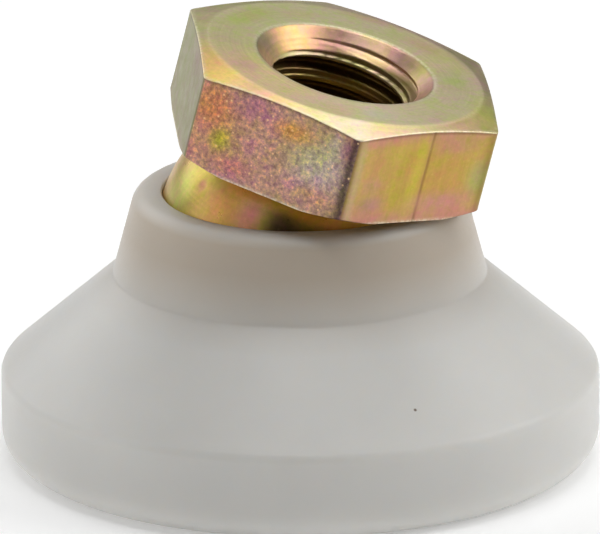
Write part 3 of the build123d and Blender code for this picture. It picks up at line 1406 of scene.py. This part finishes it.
    # painted highlight: the chamfer's pale ring of colours, palest at corner 0
    def chamfer_tint_and_highlight(self, spoke: np.ndarray, r: np.ndarray) -> np.ndarray:
        """Plating colour on the upper chamfer, with a painted highlight: paler than the flat, and palest
        at corner 0.
        """
        return self.round_the_axis(spoke, r, [
            (0, (248, 228, 206)), (9, (250, 222, 176)), (22, (236, 214, 170)),
            (34, (224, 204, 160)), (46, (228, 188, 160)), (66, (204, 202, 112)),
            (90, (196, 186, 146)), (150, (196, 166, 148)), (200, (204, 196, 152)),
            (267, (196, 190, 138)), (292, (236, 204, 122)), (303, (250, 226, 128)),
            (315, (240, 200, 164)), (328, (252, 220, 158)), (348, (248, 226, 200))])

    def bore_tint(self, spoke: np.ndarray, r: np.ndarray, z: np.ndarray) -> np.ndarray:
        """Plating colour down the hole.

        The countersink takes a ring of colours, and is rubbed paler low down round 100 degrees.
        Below it the crests of the thread carry a painted highlight and the roots are dull, and
        the wall turns yellower and a little lighter with depth, a painted light against the
        hole's shadow.

        Args:
            spoke: angles from corner 0.
            r, z: radii and heights of the points.

        Returns:
            Linear colours.
        """
        sink = self.round_the_axis(spoke, r, [
            (60, (178, 144, 118)), (90, (190, 158, 136)), (110, (202, 170, 148)),
            (140, (216, 172, 160)), (165, (220, 182, 164)), (190, (224, 176, 150)), (210, (232, 186, 128)),
            (228, (222, 178, 134)), (245, (192, 170, 150)), (270, (184, 172, 150)),
            (330, (182, 166, 140))])
        top = self.underside + self.height
        degrees = np.degrees(spoke) % 360
        rubbed = smooth((top - z - 0.7) / 0.4) * np.exp(-((degrees - 100.0) / 45.0)**2)
        sink = sink * (1 + 0.4 * rubbed)[..., None]
        # painted highlight on the thread's crests, which are pale; the roots are dull
        crest, root = linear((212, 194, 158)), linear((124, 102, 64))
        high = smooth((self.major / 2 - 0.55 - r) / 0.35)[..., None]
        wall = root + (crest - root) * high
        # painted light: deeper down the wall turns yellower and a little lighter, against the hole's
        # shadow
        deep = smooth((top - z - 2.1) / 1.5)[..., None]
        wall = wall + (wall * np.array([1.15, 1.10, 0.72]) - wall) * deep
        inside = smooth((top - z - self.countersink_margin - 0.35) / 0.5)
        cone = self.major / 2 + self.countersink_margin - (top - z)
        under = np.clip((r - cone) / 0.10, 0, 1) * inside
        deeper = smooth((self.bored + 0.02 - cone) / 0.06)
        share = np.maximum(under, deeper)[..., None]
        return sink + (wall - sink) * share


# ---------------------------------------------------------------- studio


@dataclass
class Softbox:
    """One soft light: where it stands, what it faces, its size and its brightness."""

    name: str
    at: tuple[float, float, float]
    size: float
    brightness: float
    aim: tuple[float, float, float] = (0.0, 0.0, 0.015)

    def place(self) -> None:
        """Hang the light. Its power is pi x area x brightness, so brightness is its radiance."""
        lamp = bpy.data.lights.new(self.name, "AREA")
        lamp.shape = "SQUARE"
        lamp.size = self.size
        lamp.energy = math.pi * self.size**2 * self.brightness
        rig = bpy.data.objects.new(self.name, lamp)
        rig.location = self.at
        way = Vector(self.aim) - Vector(self.at)
        rig.rotation_euler = way.to_track_quat("-Z", "Y").to_euler()
        bpy.context.scene.collection.objects.link(rig)


@dataclass
class Studio:
    """A pale floor, soft lights and the camera."""

    camera_elevation: float = 17.783
    camera_distance: float = 0.8
    target_height: float = 0.015031
    camera_roll: float = -0.231
    lens: float = 605.112
    sensor: float = 36.0
    floor_size: float = 8.0
    ambient: float = 0.02
    floor_glow: float = 0.22
    lights: tuple[Softbox, ...] = (
        Softbox("right_box", (0.55, 0.02, 0.42), 0.50, 2.5),
        Softbox("top_box", (0.0, -0.05, 0.80), 0.50, 3.0),
        Softbox("high_box", (0.22, 0.42, 0.66), 0.30, 1.25),
        Softbox("back_box", (0.0, 0.60, 0.50), 0.60, 0.65),
        Softbox("back_left_box", (-0.45, 0.42, 0.35), 0.50, 1.6),
        Softbox("back_right_box", (0.45, 0.42, 0.35), 0.50, 0.3),
        Softbox("low_left_box", (-0.60, 0.0, 0.20), 0.35, 1.0),
        Softbox("front_left_box", (-0.50, -0.40, 0.35), 0.45, 0.55),
    )

    def camera(self) -> None:
        """Stand the camera: a long lens, so that the view is nearly without perspective."""
        up_angle = math.radians(self.camera_elevation)
        roll = math.radians(self.camera_roll)
        back = Vector((0.0, -math.cos(up_angle), math.sin(up_angle)))
        right, up = Vector((1.0, 0.0, 0.0)), Vector((0.0, math.sin(up_angle), math.cos(up_angle)))
        across = right * math.cos(roll) + up * math.sin(roll)
        over = up * math.cos(roll) - right * math.sin(roll)
        data = bpy.data.cameras.new("camera")
        data.sensor_width = self.sensor
        data.lens = self.lens
        data.clip_start, data.clip_end = 0.05, 50.0
        rig = bpy.data.objects.new("camera", data)
        place = Vector((0, 0, self.target_height)) + back * self.camera_distance
        basis = Matrix((across, over, back)).transposed().to_4x4()
        rig.matrix_world = Matrix.Translation(place) @ basis
        bpy.context.scene.collection.objects.link(rig)
        bpy.context.scene.camera = rig

    def floor(self) -> None:
        """Lay a plain pale floor."""
        half = self.floor_size / 2
        mesh = bpy.data.meshes.new("studio_floor")
        mesh.from_pydata([(-half, -half, 0), (half, -half, 0), (half, half, 0), (-half, half, 0)],
                         [], [(0, 1, 2, 3)])
        floor = bpy.data.objects.new("studio_floor", mesh)
        bpy.context.scene.collection.objects.link(floor)
        bench = Bench("pale_floor")
        bench.shader.inputs["Base Color"].default_value = (0.93, 0.93, 0.93, 1.0)
        bench.shader.inputs["Roughness"].default_value = 0.9
        bench.shader.inputs["Specular IOR Level"].default_value = 0.1
        away = bench.vector("LENGTH", bench.place(), out="Value")
        glow = bench.range(away, 0.3, 1.1, self.floor_glow, self.floor_glow + 0.7)
        bench.join(glow, bench.shader.inputs["Emission Strength"])
        bench.shader.inputs["Emission Color"].default_value = (1.0, 1.0, 1.0, 1.0)
        mesh.materials.append(bench.material)

    def air(self) -> None:
        """Even, dim light from all round."""
        world = bpy.data.worlds.new("studio_air")
        world.use_nodes = True
        glow = world.node_tree.nodes["Background"]
        glow.inputs["Color"].default_value = (1.0, 0.995, 0.985, 1.0)
        glow.inputs["Strength"].default_value = self.ambient
        bpy.context.scene.world = world

    def build(self) -> None:
        """Set the whole studio up, with a plain view transform."""
        self.air()
        self.floor()
        for box in self.lights:
            box.place()
        self.camera()
        bpy.context.scene.view_settings.view_transform = "Standard"


def main() -> None:
    """Build the studio and then each piece, and report them."""
    logging.basicConfig(level=logging.INFO, format="%(name)s: %(message)s")
    Studio().build()
    nut = NutFrame()
    for maker in (FootMoulding(), SwivelBall(), TappedHexagon()):
        piece = maker.build(nut)
        log.info("%s has %d faces", piece.name, len(piece.data.polygons))


if __name__ == "__main__":
    main()
